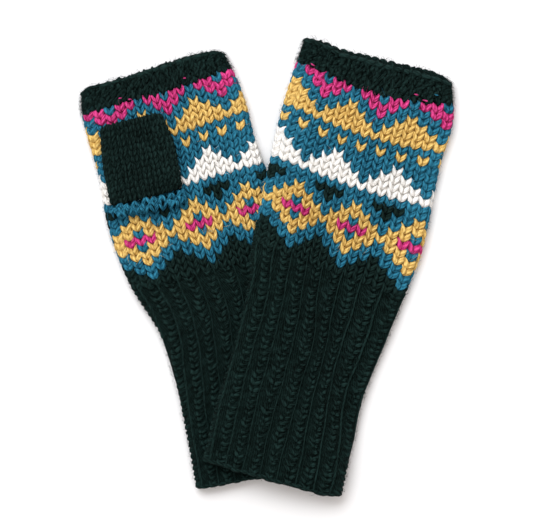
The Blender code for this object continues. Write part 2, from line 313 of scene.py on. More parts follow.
def wool(yarn):
    """Matt plied wool, deep to bright by tone + ply * PLY_PAINTED_SHADING_WEIGHT + fibre *
    FIBRE_TONE_AND_HIGHLIGHT_WEIGHT.

    Tone is each stitch's random tone plus the painted shade and highlight of its part. The plies
    are a sine that winds round the yarn's UV, in the colour a painted light and shade of the
    twist, and the fibres a noise drawn out along it, partly the fibres' own tone and partly
    painted highlight. Both are also its relief.
    """
    material = bpy.data.materials.new(yarn.name)
    material.use_nodes = True
    tree = material.node_tree
    shader = tree.nodes["Principled BSDF"]
    shader.inputs["Roughness"].default_value = 0.92
    shader.inputs["Specular IOR Level"].default_value = 0.05
    shader.inputs["Sheen Weight"].default_value = 0.05
    shader.inputs["Sheen Roughness"].default_value = 0.4
    shader.inputs["Sheen Tint"].default_value = (*[0.15 + 0.85 * c for c in yarn.bright], 1)

    uv = tree.nodes.new("ShaderNodeUVMap")
    uv.uv_map = "yarn"
    turn = tree.nodes.new("ShaderNodeVectorMath")
    turn.operation = "DOT_PRODUCT"
    turn.inputs[1].default_value = (2 * np.pi / PLY_STEP, 2 * np.pi * PLIES, 0)
    tree.links.new(uv.outputs["UV"], turn.inputs[0])
    wave = tree.nodes.new("ShaderNodeMath")
    wave.operation = "SINE"
    tree.links.new(turn.outputs["Value"], wave.inputs[0])
    ply = spread_out(tree, wave.outputs["Value"], -1, 1)

    drawn_out = tree.nodes.new("ShaderNodeMapping")
    drawn_out.inputs["Rotation"].default_value = (0, 0, FIBRE_LEAN)
    drawn_out.inputs["Scale"].default_value = FIBRE_STRETCH
    tree.links.new(uv.outputs["UV"], drawn_out.inputs["Vector"])
    noise = tree.nodes.new("ShaderNodeTexNoise")
    noise.noise_dimensions = "2D"
    noise.inputs["Scale"].default_value = FIBRE_SCALE
    noise.inputs["Detail"].default_value = FIBRE_DETAIL
    noise.inputs["Roughness"].default_value = FIBRE_ROUGHNESS
    tree.links.new(drawn_out.outputs["Vector"], noise.inputs["Vector"])
    fibre = spread_out(tree, noise.outputs["Fac"], *FIBRE_RANGE)

    tone = tree.nodes.new("ShaderNodeAttribute")
    tone.attribute_name = "tone"
    shade = times_plus(tree, fibre, FIBRE_TONE_AND_HIGHLIGHT_WEIGHT,
                       times_plus(tree, ply, PLY_PAINTED_SHADING_WEIGHT, tone.outputs["Fac"]), clamped=True)
    colours = tree.nodes.new("ShaderNodeValToRGB")
    colours.color_ramp.elements[0].color = (*yarn.deep, 1)
    colours.color_ramp.elements[1].color = (*yarn.bright, 1)
    tree.links.new(shade, colours.inputs["Fac"])
    tree.links.new(colours.outputs["Color"], shader.inputs["Base Color"])

    bump = tree.nodes.new("ShaderNodeBump")
    bump.inputs["Strength"].default_value = RELIEF_STRENGTH
    bump.inputs["Distance"].default_value = RELIEF * MM
    tree.links.new(times_plus(tree, fibre, FIBRE_RELIEF, ply), bump.inputs["Height"])
    tree.links.new(bump.outputs["Normal"], shader.inputs["Normal"])
    return material


wools = [wool(yarn) for yarn in YARNS.values()]
seeded = np.random.default_rng(36)
# What hand knitting leaves uneven, as the spread of a stitch's place in stitches, its
# height in mm, its size as a share and its tone
Uneven = namedtuple("Uneven", "place up size tone")


def put_mesh(name, points, corners, counts, yarns, uv, tone):
    """One object from arrays: points in mm, polygon corners, and per-face yarn index."""
    mesh = bpy.data.meshes.new(name)
    mesh.vertices.add(len(points))
    mesh.vertices.foreach_set("co", (points * MM).astype(np.float32).ravel())
    mesh.loops.add(len(corners))
    mesh.loops.foreach_set("vertex_index", corners.astype(np.int32))
    mesh.polygons.add(len(counts))
    starts = np.concatenate([[0], np.cumsum(counts)[:-1]]).astype(np.int32)
    mesh.polygons.foreach_set("loop_start", starts)
    mesh.polygons.foreach_set("material_index", yarns.astype(np.int32))
    mesh.polygons.foreach_set("use_smooth", np.full(len(counts), True))
    mesh.update(calc_edges=True)
    layer = mesh.uv_layers.new(name="yarn")
    layer.data.foreach_set("uv", uv.astype(np.float32).ravel())
    mesh.attributes.new("tone", "FLOAT", "POINT").data.foreach_set("value", tone.astype(np.float32))
    for material in wools:
        mesh.materials.append(material)
    mesh.validate()
    thing = bpy.data.objects.new(name, mesh)
    bpy.context.scene.collection.objects.link(thing)
    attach(thing, "root")
    return thing


YARN_START = 60                            # a leg's plies start anywhere in this much yarn


def put_yarns(name, rings, way, yarns, tone):
    """Short closed yarns: rings is (yarn, ring, side, xyz), capped at both ends.

    Way is the distance along a yarn in mm, and its UV is that way and the share of the
    way round it. Tone has a value for each yarn, or one for each of its rings.
    """
    many, deep, sides, _ = rings.shape
    way = way + seeded.uniform(0, YARN_START, many)[:, None]
    index = np.arange(many * deep * sides).reshape(many, deep, sides)
    after = np.roll(index, -1, axis=2)
    quads = np.stack([index[:, :-1], index[:, 1:], after[:, 1:], after[:, :-1]], axis=-1)
    first_cap = index[:, 0, :]
    last_cap = index[:, -1, ::-1]
    corners = np.concatenate([quads.ravel(), first_cap.ravel(), last_cap.ravel()])
    quad_count = many * (deep - 1) * sides
    counts = np.concatenate([np.full(quad_count, 4), np.full(2 * many, sides)])
    face_yarns = np.concatenate([np.repeat(yarns, (deep - 1) * sides), yarns, yarns])

    along = np.broadcast_to(way, (many, deep))[:, :, None] + np.zeros(sides)
    around = np.arange(sides) / sides
    quad_u = np.stack([along[:, :-1], along[:, 1:], along[:, 1:], along[:, :-1]], axis=-1)
    quad_v = np.broadcast_to(np.stack([around, around, around + 1 / sides, around + 1 / sides],
                                      axis=-1), quad_u.shape)
    cap_uv = [np.stack([along[:, ring].ravel(), np.broadcast_to(turn, (many, sides)).ravel()], -1)
              for ring, turn in ((0, around), (-1, around[::-1]))]
    uv = np.concatenate([np.stack([quad_u.ravel(), quad_v.ravel()], axis=-1), *cap_uv])
    return put_mesh(name, rings.reshape(-1, 3), corners, counts, face_yarns, uv,
                    np.repeat(np.broadcast_to(tone.reshape(many, -1), (many, deep)), sides))


LegPoint = namedtuple("LegPoint", "across up depth wide thick tone", defaults=(0.0,))
# The right leg of a V from its foot to its tip: across and up in mm from the middle of
# the stitch's foot, then the yarn's depth, half width, half thickness and tone, which is
# painted shade at the tucked-in foot and tip and a painted highlight on the plump middle
V_LEG = [
    LegPoint(0.30, -0.60, 2.00, 0.40, 0.40, -0.12),
    LegPoint(0.52, 0.30, 1.15, 0.82, 0.80, 0.0),
    LegPoint(1.00, 1.55, 0.90, 1.07, 0.95, 0.06),
    LegPoint(1.62, 2.95, 0.90, 1.00, 0.92, 0.06),
    LegPoint(2.20, 4.40, 1.12, 0.74, 0.75, 0.0),
    LegPoint(2.62, 5.90, 1.80, 0.24, 0.25, -0.15),
]
STITCH_WIDE, V_ROW = 5.5, 4.1              # the stitch and the row that V_LEG is drawn for
YARN_SIDES = 6
TABLE_CLEAR = 0.05                         # between the lowest yarn and the table


def leg_rings(tube, path, mirror, column, foot, size, row_scale=1.0):
    """Yarn legs on a tube, one for each column and foot, as (leg, ring, side, xyz).

    A ring is an ellipse round each point of the path: its half width lies square to
    the path on the cloth, and its half thickness along the cloth's depth.
    """
    path = np.array(path)
    across, up = path[:, 0] * mirror, path[:, 1] * row_scale
    lean = np.stack([np.gradient(across), np.gradient(up)])
    lean /= np.linalg.norm(lean, axis=0)
    angle = np.arange(YARN_SIDES) / YARN_SIDES * 2 * np.pi
    side_way = np.cos(angle) * path[:, 3][:, None]
    ring_across = across[:, None] + side_way * lean[1][:, None]
    ring_up = up[:, None] - side_way * lean[0][:, None]
    ring_depth = path[:, 2][:, None] - np.sin(angle) * path[:, 4][:, None]
    size = size[:, None, None]
    stitch = column[:, None, None] + ring_across * size / STITCH_WIDE
    rings = tube.point(foot[:, None, None] + ring_up * size, stitch, ring_depth)
    rings[..., 2] = np.maximum(rings[..., 2], TABLE_CLEAR)
    return rings


def painted_leg_shading(path):
    """The tone of each point of a path: the painted shade and highlight along a leg."""
    return np.array([point.tone for point in path])


def way_along(path):
    """Distance along a path of leg points, in mm."""
    path = np.array(path)[:, :3]
    return np.concatenate([[0], np.cumsum(np.linalg.norm(np.diff(path, axis=0), axis=1))])


def each(rows, columns):
    """The row and the column of every place on a grid, row by row."""
    return [grid.ravel() for grid in np.meshgrid(rows, columns, indexing="ij")]


# One repeat of the pattern: six stitches, from the top band down to the wrist.
# B blue, P pink, Y gold, W white, D dark green.
CHART = """
BPPBPP PPBBBP PBBYBB BBYYYB BYYYYY YYYYYY BBBBBB BYBYBY BBBBBB BBBWBB BBWWWB BWWWWW
WWWWWW BBBBBB BBDDDB YBBDBB YYBBBY BYYBYY PPYYYP BYYBYY YYBBBY YBBDBB BBDDDB BDDDDD
""".split()
CHART_ROWS, REPEAT = len(CHART), len(CHART[0])
chart_yarn = np.array([[YARN_LETTERS.index(letter) for letter in row] for row in CHART])
V_UNEVEN = Uneven(place=0.025, up=0.12, size=0.03, tone=0.05)
V_TONE, LEGS_APART = 0.02, 0.03            # the stitches' tone, and between a stitch's legs


def patterned(column, row):
    """The chart's yarn at a column, for rows counted from the wrist up; green below it."""
    return np.where(row < 0, GREEN, chart_yarn[CHART_ROWS - 1 - np.maximum(row, 0), column % REPEAT])


def plain(yarn):
    """One yarn at every column and row."""
    return lambda column, row: np.full(np.shape(column), yarn)


def v_stitches(name, tube, start, stop, rows, first_column, yarn_of):
    """Rows of V stitches from a row before start to stop along a tube, both legs of each."""
    row_height = (stop - start) / rows
    row, column = each(np.arange(-1, rows), np.arange(tube.stitches))
    many = len(row)
    place = column + first_column + seeded.normal(0, V_UNEVEN.place, many)
    foot = start + row * row_height + seeded.normal(0, V_UNEVEN.up, many)
    size = 1 + seeded.normal(0, V_UNEVEN.size, many)
    tone = V_TONE + seeded.normal(0, V_UNEVEN.tone, many)
    rings = [leg_rings(tube, V_LEG, way, place, foot, size, row_height / V_ROW) for way in (1, -1)]
    tone = np.concatenate([tone, tone + seeded.normal(0, LEGS_APART, many)])
    return put_yarns(name, np.concatenate(rings), way_along(V_LEG),
                     np.tile(yarn_of(column, row), 2), tone[:, None] + painted_leg_shading(V_LEG))


SHELL_DEPTH, SHELL_THICK = 1.9, 1.1
# The shell is darker than the stitches as painted shade in the gaps between them; its spread is
# random tone
SHELL_PAINTED_SHADE, SHELL_TONE_SPREAD = -0.22, 0.12
SHELL_GRAIN = 1.5      # the wool's UV for each mm along, and for each stitch round
DEPTH_CHANGE = 9.0     # the stretch in which the shell's depth changes
FOLD_FILL = 0.6        # of the shell's depth, taken off where a fold is seen from beside
CELL_SHIFT = 0.75      # stitches, which put a cell behind the V of its own yarn


def cloth(name, tube, start, stop, rows, columns, first_column, depth, thick, yarn_of):
    """The thin shell behind the stitches, a cell for each stitch, in the same yarns,
    darker as painted shade in the gaps between the stitches.

    Its depth goes smoothly from the first given to the last over DEPTH_CHANGE before its
    stop. It lies nearer the outer face round the folds, by a bell curve of one stitch.
    """
    along = np.linspace(start, stop, 2 * rows + 1)
    depth = depth[0] + (depth[1] - depth[0]) * smoothstep(stop - DEPTH_CHANGE, stop, along[:, None])
    ring = 2 * columns
    stitch = np.arange(ring) / 2 * tube.stitches / columns
    lies_at = np.mod(tube.pulled(*np.broadcast_arrays(along[:, None], stitch))[1], tube.stitches)
    left_fold = np.minimum(lies_at, tube.stitches - lies_at)
    to_fold = np.minimum(left_fold, np.abs(lies_at - tube.on_top))
    depth = depth * (1 - FOLD_FILL * np.exp(-to_fold**2))
    points = tube.point(along[:, None], stitch, depth)

    half_row, half_cell = each(np.arange(2 * rows), np.arange(ring))
    low = half_row * ring + half_cell
    low_next = half_row * ring + (half_cell + 1) % ring
    corners = np.stack([low, low_next, low_next + ring, low + ring], axis=-1)
    column = np.floor(half_cell / 2 - first_column + CELL_SHIFT).astype(int) % columns
    step = (along[1] - along[0]) * SHELL_GRAIN
    uv = np.stack([(half_row[:, None] + (0, 0, 1, 1)) * step,
                   (half_cell[:, None] + (0, 1, 1, 0)) * SHELL_GRAIN / 2], axis=-1)
    tone = SHELL_PAINTED_SHADE + seeded.normal(0, SHELL_TONE_SPREAD, points.shape[0] * ring)
    shell = put_mesh(name, points.reshape(-1, 3), corners.ravel(), np.full(len(corners), 4),
                     yarn_of(column, half_row // 2), uv, tone)
    wall = shell.modifiers.new("wall", "SOLIDIFY")
    wall.thickness = thick * MM
    wall.offset = -1
    return shell


HAIR_HALF = 0.06                           # a little thicker than real wool fibres
HAIR_TAPER = (1, 1, 0.8, 0.3)              # of the half thickness, from root to tip
HAIR_SIDES = 3
HAIR_LONG, HAIR_LONG_SPREAD, HAIR_LONG_RANGE = 2.6, 0.5, (1.0, 8.0)
HAIR_GRAIN = 3.0                           # the wool's UV from root to tip
HAIR_CURL = 1.0                            # radians that it bends, as a spread
HAIR_ROOT, HAIR_RISE = 0.9, (0.8, 2.6)     # depth of the root, and how far the tip rises
HAIR_CLEAR = 0.15                          # from a hair's middle to the table
HAIR_TONE, HAIR_TONE_SPREAD = 0.55, 0.2
NEAR_FOLD_SHARE, NEAR_FOLD = 0.2, 0.9      # of the hairs, and within how many stitches
PAST_HEM, PAST_RIM = 1.5, 1.0              # how far hairs reach past the ends
ASIDE = (0.36, 0.48, 0.80)                 # a direction that few hairs follow
HAND_HAIRS = 1900


def hairs(name, tube, start, stop, many, yarn_of):
    """Loose fibres: thin curved threads that leave the yarn and stand off the cloth.

    Some start near the folds. Each bends along an arc on the cloth while its depth
    falls with the square root of the way along it.
    """
    fold = np.where(seeded.random(many) < 0.5, 0.0, tube.on_top)
    stitch = np.where(seeded.random(many) < NEAR_FOLD_SHARE,
                      fold + seeded.normal(0, NEAR_FOLD, many),
                      seeded.uniform(0, tube.stitches, many))
    along = seeded.uniform(start, stop, many)
    share = np.linspace(0, 1, len(HAIR_TAPER))
    heading = (seeded.uniform(0, 2 * np.pi, many)[:, None]
               + seeded.normal(0, HAIR_CURL, many)[:, None] * share)
    long = seeded.lognormal(np.log(HAIR_LONG), HAIR_LONG_SPREAD, many)
    step = np.clip(long, *HAIR_LONG_RANGE)[:, None] / (len(HAIR_TAPER) - 1)
    out_across = np.cumsum(np.cos(heading), axis=1) * step - np.cos(heading[:, :1]) * step
    out_up = np.cumsum(np.sin(heading), axis=1) * step - np.sin(heading[:, :1]) * step
    depth = HAIR_ROOT - seeded.uniform(*HAIR_RISE, many)[:, None] * np.sqrt(share)
    reached = np.clip(along[:, None] + out_up, -PAST_HEM, tube.length + PAST_RIM)
    path = tube.point(reached, stitch[:, None] + out_across / STITCH_WIDE, depth)
    path[..., 2] = np.maximum(path[..., 2], HAIR_CLEAR)
    way = np.gradient(path, axis=1)
    way /= np.linalg.norm(way, axis=-1, keepdims=True) + 1e-9
    beside = np.cross(way, ASIDE)
    beside /= np.linalg.norm(beside, axis=-1, keepdims=True) + 1e-9
    other = np.cross(way, beside)
    angle = np.arange(HAIR_SIDES) / HAIR_SIDES * 2 * np.pi
    half = (HAIR_HALF * np.array(HAIR_TAPER))[:, None, None]
    rings = path[:, :, None] + half * (np.cos(angle)[:, None] * beside[:, :, None]
                                       + np.sin(angle)[:, None] * other[:, :, None])
    row = np.clip((along - start) / (stop - start) * CHART_ROWS, 0, CHART_ROWS - 1).astype(int)
    yarn = yarn_of(np.floor(stitch).astype(int), row)
    return put_yarns(name, rings, share * HAIR_GRAIN, yarn,
                     HAIR_TONE + seeded.normal(0, HAIR_TONE_SPREAD, many))


def knit_hand(side, tube, first_column):
    start = tube.along[WRIST_ROW] + SEAM_GAP / 2
    stop = tube.along[BAND_ROW] - SEAM_GAP / 2
    shell = cloth(f"{side}_hand_cloth", tube, start, stop, CHART_ROWS, STITCHES, first_column,
                  (SHELL_DEPTH, SHELL_DEPTH), SHELL_THICK, patterned)
    stitches = v_stitches(f"{side}_hand_stitches", tube, start, stop, CHART_ROWS,
                          first_column, patterned)
    fuzz = hairs(f"{side}_hand_hairs", tube, start, stop, HAND_HAIRS,
                 lambda column, row: patterned(column - round(first_column - 0.5), row))
    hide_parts(f"{side}_hand")


LEFT_COLUMN = 3.1                          # where the repeat starts, in stitches from the fold
left_mitt = Tube(LEFT_ROWS, pull=LEFT_PULL, rim_pull=LEFT_RIM)
knit_hand("left", left_mitt, first_column=LEFT_COLUMN)


# ---- Left cuff ----------------------------------------------------------------------
# One-by-one rib in dark green wool from the hem to the wrist, cast on in a row of loops.
# A column of wide shallow V stitches stands between thin straight lines, the edges of
# the purl columns, made lighter as a painted highlight on their ridges.
RIB_ROW, RIB_COUNT, RIB_STITCHES = 3.45, 18, 2
# A rib leg's tone is a painted highlight where it rises nearest the face and painted shade as it
# sinks toward the purl column
RIB_LEG = [
    LegPoint(0.00, -0.30, 1.25, 0.55, 0.50, 0.05),
    LegPoint(0.70, 0.30, 0.65, 1.00, 0.80, 0.28),
    LegPoint(1.65, 1.10, 0.80, 0.98, 0.78, 0.10),
    LegPoint(2.65, 1.80, 1.20, 0.76, 0.60, -0.14),
    LegPoint(3.75, 2.40, 1.52, 0.56, 0.44, -0.25),
    LegPoint(4.85, 2.90, 1.90, 0.35, 0.30, -0.32),
]
RIB_UNEVEN = Uneven(place=0.08, up=0.32, size=0.13, tone=0.10)
RIB_SIZE, RIB_TONE, LEG_TONE_SPREAD = 0.96, 0.02, 0.20
RIB_START, RIB_STOP_BEFORE = 1.6, 2.0      # from the hem, and before the wrist
RIB_SWAY, RIB_SWAY_STEP = 0.35, 1.9        # ribs' rows are out of step by a sine
RIB_CLEAR = 0.2                            # of the lowest rows, from the start of the ribs
CUFF_START = 0.3                           # of the shell and the lines, from the hem
CUFF_SHELL_DEPTH = 1.35
LINE_WIDE, LINE_THICK, LINE_DEPTH = 0.36, 0.48, 0.65
LINE_BACK = 1.2                            # stitches left of the V columns
LINE_RINGS = 90
# The lines are lighter than the cuff as a painted highlight on their ridges; the spread is random
# tone
LINE_PAINTED_HIGHLIGHT, LINE_TONE_SPREAD = 0.20, 0.14
# A line waves by sines: half the wave in stitches, mm along for a radian, radians a rib
Wave = namedtuple("Wave", "out along rib")
LINE_WAVES = [Wave(0.05, 9.0, 2.1), Wave(0.03, 3.4, 1.3)]
HEM_LOOP = [
    LegPoint(-3.6, -0.25, 1.7, 0.45, 0.50),
    LegPoint(-2.4, -0.10, 1.2, 0.95, 1.00),
    LegPoint(-0.9, 0.0, 1.0, 1.15, 1.15),
    LegPoint(0.9, 0.05, 1.0, 1.15, 1.15),
    LegPoint(2.4, 0.2, 1.2, 0.95, 1.00),
    LegPoint(3.6, 0.3, 1.7, 0.45, 0.50),
]
HEM_UNEVEN = Uneven(place=0.05, up=0.30, size=0.10, tone=0.06)
HEM_UP, HEM_TONE = 1.1, 0.05
CUFF_HAIRS, CUFF_HAIR_START = 2500, 0.5
LEFT_CUFF_PULL = [
    Pull(0.0, (-1.65, 0.0), (-1.65, 0.0), (-1.65, 0.0), (-1.65, 0.0), (-1.65, 0.0)),
    Pull(0.33, (-1.7, 0.0), (-1.7, 0.1), (-1.7, 0.2), (-1.7, 0.2), (-1.7, 0.3)),
    Pull(0.48, (-1.35, 0.0), (-1.35, 0.2), (-1.35, 0.3), (-1.35, 0.3), (-1.35, 0.5)),
    Pull(0.67, (-0.7, 0.1), (-0.7, 0.3), (-0.7, 0.6), (-0.7, 0.5), (-0.7, 0.8)),
    Pull(0.88, (0.05, 0.4), (0.05, 0.6), (0.05, 1.1), (0.05, 1.0), (0.05, 1.5)),
    Pull(1.0, (0.1, 0.6), (0.1, 0.8), (0.1, 1.5), (0.1, 1.3), (0.1, 1.9)),
]


def rib_stitches(tube, start, stop, rows):
    """Both legs of a wide V for each row of each rib."""
    row, rib = each(np.arange(rows), np.arange(RIB_COUNT))
    many = len(row)
    row_at = start + row * ((stop - start) / rows) + RIB_SWAY * np.sin(rib * RIB_SWAY_STEP)
    rings = []
    for way in (1, -1):
        place = rib * RIB_STITCHES + seeded.normal(0, RIB_UNEVEN.place, many)
        foot = np.maximum(row_at + seeded.normal(0, RIB_UNEVEN.up, many), start + RIB_CLEAR)
        size = RIB_SIZE + seeded.normal(0, RIB_UNEVEN.size, many)
        rings.append(leg_rings(tube, RIB_LEG, way, place, foot, size))
    tone = (seeded.normal(RIB_TONE, RIB_UNEVEN.tone, (2 * many, 1))
            + seeded.normal(0, LEG_TONE_SPREAD, (2 * many, len(RIB_LEG))))
    return np.concatenate(rings), tone + painted_leg_shading(RIB_LEG)


def rib_lines(tube, start, stop):
    """A thin yarn along each rib, waving a little from side to side."""
    along = np.linspace(start, stop, LINE_RINGS)
    rib = np.arange(RIB_COUNT)[:, None]
    wander = sum(wave.out * np.sin(along / wave.along + wave.rib * rib) for wave in LINE_WAVES)
    column = rib * RIB_STITCHES - LINE_BACK + wander
    angle = np.arange(YARN_SIDES) / YARN_SIDES * 2 * np.pi
    stitch = column[..., None] + np.cos(angle) * LINE_WIDE / STITCH_WIDE
    depth = LINE_DEPTH - np.sin(angle) * LINE_THICK
    return tube.point(along[:, None] + 0 * angle, stitch, depth + 0 * stitch), along - start


def knit_cuff(side, tube):
    stop = tube.along[WRIST_ROW] - SEAM_GAP / 2
    rows = round(stop / RIB_ROW)
    shell = cloth(f"{side}_cuff_cloth", tube, CUFF_START, stop, rows, STITCHES, 0,
                  (CUFF_SHELL_DEPTH, SHELL_DEPTH), SHELL_THICK, plain(GREEN))
    legs, tone = rib_stitches(tube, RIB_START, stop - RIB_STOP_BEFORE, rows)
    stitches = put_yarns(f"{side}_cuff_stitches", legs, way_along(RIB_LEG),
                         np.full(len(legs), GREEN), tone)
    loops = leg_rings(tube, HEM_LOOP, 1,
                      np.arange(STITCHES) + seeded.normal(0, HEM_UNEVEN.place, STITCHES),
                      HEM_UP + seeded.normal(0, HEM_UNEVEN.up, STITCHES),
                      1 + seeded.normal(0, HEM_UNEVEN.size, STITCHES))
    hem = put_yarns(f"{side}_cuff_hem", loops, way_along(HEM_LOOP), np.full(STITCHES, GREEN),
                    HEM_TONE + seeded.normal(0, HEM_UNEVEN.tone, STITCHES))
    yarn, way = rib_lines(tube, CUFF_START, stop)
    lines = put_yarns(f"{side}_cuff_lines", yarn, way, np.full(RIB_COUNT, GREEN),
                      LINE_PAINTED_HIGHLIGHT + seeded.normal(0, LINE_TONE_SPREAD, (LINE_RINGS, RIB_COUNT)).T)
    fuzz = hairs(f"{side}_cuff_hairs", tube, CUFF_HAIR_START, stop, CUFF_HAIRS, plain(GREEN))
    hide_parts(f"{side}_cuff")


knit_cuff("left", Tube(LEFT_ROWS, pull=LEFT_CUFF_PULL, rim_pull=LEFT_RIM))


# ---- Left top band ------------------------------------------------------------------
# Seven close rows of rib in dark green, bound off in a lumpy chain along the rim. Bits
# of the hand's yarns are caught in it.
BAND_ROWS = 7
BAND_LUMPS = 2                             # in a stitch of each row
BAND_LUMP = [
    LegPoint(-0.15, -2.05, 1.70, 0.35, 0.35),
    LegPoint(-0.08, -1.25, 1.15, 0.85, 0.65),
    LegPoint(0.0, -0.40, 0.95, 1.05, 0.75),
    LegPoint(0.0, 0.45, 0.95, 1.05, 0.75),
    LegPoint(0.08, 1.35, 1.20, 0.82, 0.62),
    LegPoint(0.15, 2.10, 1.75, 0.32, 0.35),
]
LEAN_RIGHT, LEAN_LEFT = 0.40, -0.25        # a lump's slope, half of them each way
BAND_UNEVEN = Uneven(place=0.10, up=0.42, size=0.17, tone=0.12)
BAND_SIZE = 1.05
ROW_MIDDLE, ROW_SHIFT = 0.6, 0.25          # of a row up, and every other row's shift aside
BRIGHT_EVERY, BRIGHTER = 4, 0.16           # one lump in four is brighter
RIM_ROOM, RIM_SHELL_ROOM = 2.0, 0.8        # from the rim to the rows, and to their shell
BOUND_LOOP = [
    LegPoint(-3.2, -0.6, 2.0, 0.45, 0.55),
    LegPoint(-2.0, -0.3, 1.2, 1.20, 1.15),
    LegPoint(-0.6, 0.0, 1.0, 1.50, 1.35),
    LegPoint(0.9, 0.2, 1.0, 1.50, 1.35),
    LegPoint(2.2, 0.5, 1.3, 1.10, 1.05),
    LegPoint(3.2, 0.7, 2.0, 0.45, 0.50),
]
BOUND_UNEVEN = Uneven(place=0.05, up=0.2, size=0.07, tone=0.12)
BOUND_DOWN, NEAR_DOWN = 1.6, 0.8           # below the rim, and more on the upper layer
# The bound-off loops on the upper layer are lighter than the lower layer's, as painted light on the
# near rim
NEAR_RIM_PAINTED_LIGHT = 0.34
# A bit of yarn caught in the band: its stitch, and how far up from the band's start
Speck = namedtuple("Speck", "stitch up yarn")
LEFT_SPECKS = [Speck(12.0, 4.6, "P"), Speck(5.2, 1.0, "P"), Speck(4.3, 3.2, "P")]
SPECK = [
    LegPoint(-1.15, 0.30, 0.90, 0.15, 0.15),
    LegPoint(-0.45, 0.10, 0.15, 0.40, 0.30),
    LegPoint(0.45, -0.10, 0.15, 0.40, 0.30),
    LegPoint(1.15, -0.30, 0.90, 0.15, 0.15),
]
SPECK_TONE = 0.2
BAND_HAIRS = 1500


def leaning(path, slope):
    """The path, sheared so that it goes across by slope for each mm up."""
    return [point._replace(across=point.up * slope + point.across) for point in path]


def knit_band(side, tube, first_column, specks):
    start, stop = tube.along[BAND_ROW] + SEAM_GAP / 2, tube.length
    shell = cloth(f"{side}_top_band_cloth", tube, start, stop - RIM_SHELL_ROOM, BAND_ROWS,
                  STITCHES, 0, (SHELL_DEPTH, SHELL_DEPTH), SHELL_THICK, plain(GREEN))
    height = (stop - RIM_ROOM - start) / BAND_ROWS
    row, column = each(np.arange(BAND_ROWS), np.arange(STITCHES * BAND_LUMPS))
    many = len(row)
    place = (column / BAND_LUMPS + first_column + ROW_SHIFT * (row % 2)
             + seeded.normal(0, BAND_UNEVEN.place, many))
    foot = start + (row + ROW_MIDDLE) * height + seeded.normal(0, BAND_UNEVEN.up, many)
    size = BAND_SIZE + seeded.normal(0, BAND_UNEVEN.size, many)
    tone = seeded.normal(0, BAND_UNEVEN.tone, many) + BRIGHTER * (column % BRIGHT_EVERY == 0)
    right = seeded.random(many) < 0.5
    lumps = [leg_rings(tube, leaning(BAND_LUMP, slope), 1, place[pick], foot[pick], size[pick])
             for slope, pick in ((LEAN_RIGHT, right), (LEAN_LEFT, ~right))]
    stitches = put_yarns(f"{side}_top_band_stitches", np.concatenate(lumps),
                         way_along(BAND_LUMP), np.full(many, GREEN), tone)
    loop = np.arange(STITCHES)
    near = loop < tube.on_top - first_column
    rim = leg_rings(tube, BOUND_LOOP, 1,
                    loop + first_column + seeded.normal(0, BOUND_UNEVEN.place, STITCHES),
                    stop - BOUND_DOWN - NEAR_DOWN * near
                    + seeded.normal(0, BOUND_UNEVEN.up, STITCHES),
                    1 + seeded.normal(0, BOUND_UNEVEN.size, STITCHES))
    bound = put_yarns(f"{side}_top_band_rim", rim, way_along(BOUND_LOOP), np.full(STITCHES, GREEN),
                      NEAR_RIM_PAINTED_LIGHT * near + seeded.normal(0, BOUND_UNEVEN.tone, STITCHES))
    bits = leg_rings(tube, SPECK, 1, np.array([speck.stitch for speck in specks]),
                     start + np.array([speck.up for speck in specks]), np.ones(len(specks)))
    caught = put_yarns(f"{side}_top_band_specks", bits, way_along(SPECK),
                       np.array([YARN_LETTERS.index(speck.yarn) for speck in specks]),
                       np.full(len(specks), SPECK_TONE))
    fuzz = hairs(f"{side}_top_band_hairs", tube, start, stop, BAND_HAIRS, plain(GREEN))
    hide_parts(f"{side}_top_band")


knit_band("left", left_mitt, first_column=LEFT_COLUMN, specks=LEFT_SPECKS)


# ---- Left thumb ---------------------------------------------------------------------
# A short tube of fine dark green knitting, picked up from the palm at its foot and
# folded up flat over the palm.
THUMB_WALL, THUMB_HOLLOW = 2.3, 0.8
THUMB_THICK = 2 * THUMB_WALL + THUMB_HOLLOW
THUMB_FOOT_THICK = 3.6
THUMB_FOOT_RISE = 7.0                      # the stretch in which it gets its full thickness
THUMB_FOLD_REACH, THUMB_CORNER = 3.4, 2.0
THUMB_STITCHES, THUMB_ROW = 16, 3.5
THUMB_START, THUMB_STOP_BEFORE = 0.5, 1.2
THUMB_SHELL_DEPTH, THUMB_SHELL_THICK = 1.4, 0.7
ThumbRow = namedtuple("ThumbRow", "place along left right")
THUMB_ROWS = [
    ThumbRow("foot", 0.0, -21.1, 21.1),
    ThumbRow("middle", 26.7, -19.4, 22.2),
    ThumbRow("tip", 45.7, -16.1, 19.4),
]
Foot = namedtuple("Foot", "x y turn_deg mirror")
LEFT_THUMB = Foot(-66.7, 38.1, 14.0, 1)
THUMB_LEG = [
    LegPoint(0.85, -0.55, 1.50, 0.42, 0.38),
    LegPoint(1.02, 0.25, 0.95, 0.90, 0.72),
    LegPoint(1.20, 1.20, 0.80, 1.10, 0.76),
    LegPoint(1.42, 2.20, 0.82, 1.04, 0.74),
    LegPoint(1.62, 3.15, 1.10, 0.74, 0.62),
    LegPoint(1.78, 3.95, 1.60, 0.30, 0.30),
]
THUMB_UNEVEN = Uneven(place=0.05, up=0.2, size=0.05, tone=0.09)
THUMB_TONE = -0.02
